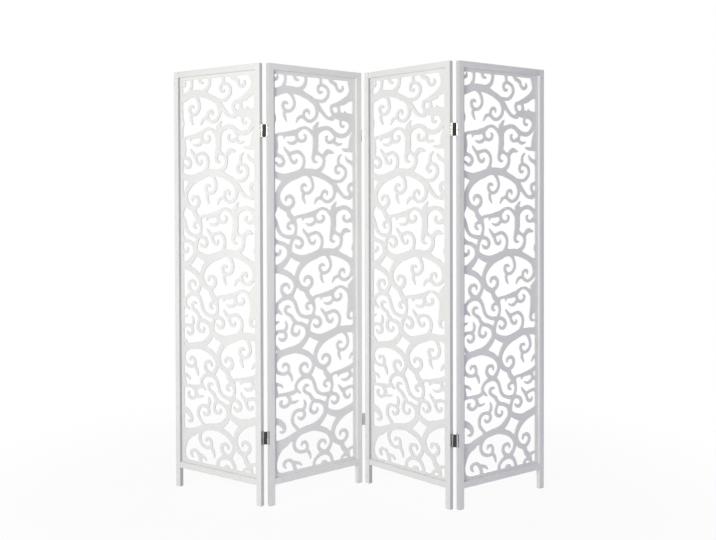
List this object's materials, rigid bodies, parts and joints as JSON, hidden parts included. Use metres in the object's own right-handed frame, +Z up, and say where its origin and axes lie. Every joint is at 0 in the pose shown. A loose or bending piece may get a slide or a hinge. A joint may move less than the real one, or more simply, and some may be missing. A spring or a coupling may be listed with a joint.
{
  "type": "folding screen",
  "caption": "Free-standing folding room divider: framed panels filled with a cut-out scroll fretwork board, joined edge to edge by two-way hinges so that it stands in a zigzag.",
  "frame": {"origin": "middle of the standing screen's footprint, on the floor", "axes": "+Z up, -Y towards the side it is seen from, +X along the row of panels from the first to the last"},
  "size_m": [1.5876, 0.3552, 1.79],
  "materials": {
    "painted_frame": "satin white paint",
    "painted_board": "satin white paint",
    "hinge_leaf": "bright nickel plate",
    "hinge_link": "bright nickel plate",
    "hinge_pin": "bright steel"
  },
  "bodies": {
    "panel_1": {"panel_1_left_stile": "painted_frame", "panel_1_right_stile": "painted_frame", "panel_1_top_rail": "painted_frame", "panel_1_bottom_rail": "painted_frame", "panel_1_scroll_board": "painted_board", "join_1_2_upper_left_leaf": "hinge_leaf", "join_1_2_lower_left_leaf": "hinge_leaf"},
    "panel_2": {"panel_2_left_stile": "painted_frame", "panel_2_right_stile": "painted_frame", "panel_2_top_rail": "painted_frame", "panel_2_bottom_rail": "painted_frame", "panel_2_scroll_board": "painted_board", "join_1_2_upper_right_leaf": "hinge_leaf", "join_1_2_lower_right_leaf": "hinge_leaf", "join_2_3_upper_left_leaf": "hinge_leaf", "join_2_3_lower_left_leaf": "hinge_leaf"},
    "panel_3": {"panel_3_left_stile": "painted_frame", "panel_3_right_stile": "painted_frame", "panel_3_top_rail": "painted_frame", "panel_3_bottom_rail": "painted_frame", "panel_3_scroll_board": "painted_board", "join_2_3_upper_right_leaf": "hinge_leaf", "join_2_3_lower_right_leaf": "hinge_leaf", "join_3_4_upper_left_leaf": "hinge_leaf", "join_3_4_lower_left_leaf": "hinge_leaf"},
    "panel_4": {"panel_4_left_stile": "painted_frame", "panel_4_right_stile": "painted_frame", "panel_4_top_rail": "painted_frame", "panel_4_bottom_rail": "painted_frame", "panel_4_scroll_board": "painted_board", "join_3_4_upper_right_leaf": "hinge_leaf", "join_3_4_lower_right_leaf": "hinge_leaf"},
    "link_1_2": {"join_1_2_upper_link": "hinge_link", "join_1_2_upper_left_pin": "hinge_pin", "join_1_2_upper_right_pin": "hinge_pin", "join_1_2_lower_link": "hinge_link", "join_1_2_lower_left_pin": "hinge_pin", "join_1_2_lower_right_pin": "hinge_pin"},
    "link_2_3": {"join_2_3_upper_link": "hinge_link", "join_2_3_upper_left_pin": "hinge_pin", "join_2_3_upper_right_pin": "hinge_pin", "join_2_3_lower_link": "hinge_link", "join_2_3_lower_left_pin": "hinge_pin", "join_2_3_lower_right_pin": "hinge_pin"},
    "link_3_4": {"join_3_4_upper_link": "hinge_link", "join_3_4_upper_left_pin": "hinge_pin", "join_3_4_upper_right_pin": "hinge_pin", "join_3_4_lower_link": "hinge_link", "join_3_4_lower_left_pin": "hinge_pin", "join_3_4_lower_right_pin": "hinge_pin"}
  },
  "joints": [
    {"name": "join_1_2_right_pins", "type": "hinge", "parent": "panel_2", "child": "link_1_2", "pos_m": [-0.36759, -0.12432, 0], "axis": [0, 0, -1], "range_deg": [-125.5, 54.5]},
    {"name": "join_1_2_left_pins", "type": "hinge", "parent": "link_1_2", "child": "panel_1", "pos_m": [-0.38757, -0.1252, 0], "axis": [0, 0, -1], "range_deg": [-125.5, 54.5]},
    {"name": "join_2_3_left_pins", "type": "hinge", "parent": "panel_2", "child": "link_2_3", "pos_m": [0.01176, 0.17205, 0], "axis": [0, 0, -1], "range_deg": [-131.5, 48.5]},
    {"name": "join_2_3_right_pins", "type": "hinge", "parent": "link_2_3", "child": "panel_3", "pos_m": [0.03173, 0.17083, 0], "axis": [0, 0, -1], "range_deg": [-131.5, 48.5]},
    {"name": "join_3_4_left_pins", "type": "hinge", "parent": "panel_3", "child": "link_3_4", "pos_m": [0.37213, -0.16957, 0], "axis": [0, 0, 1], "range_deg": [-129.5, 50.5]},
    {"name": "join_3_4_right_pins", "type": "hinge", "parent": "link_3_4", "child": "panel_4", "pos_m": [0.39203, -0.17148, 0], "axis": [0, 0, 1], "range_deg": [-129.5, 50.5]}
  ]
}
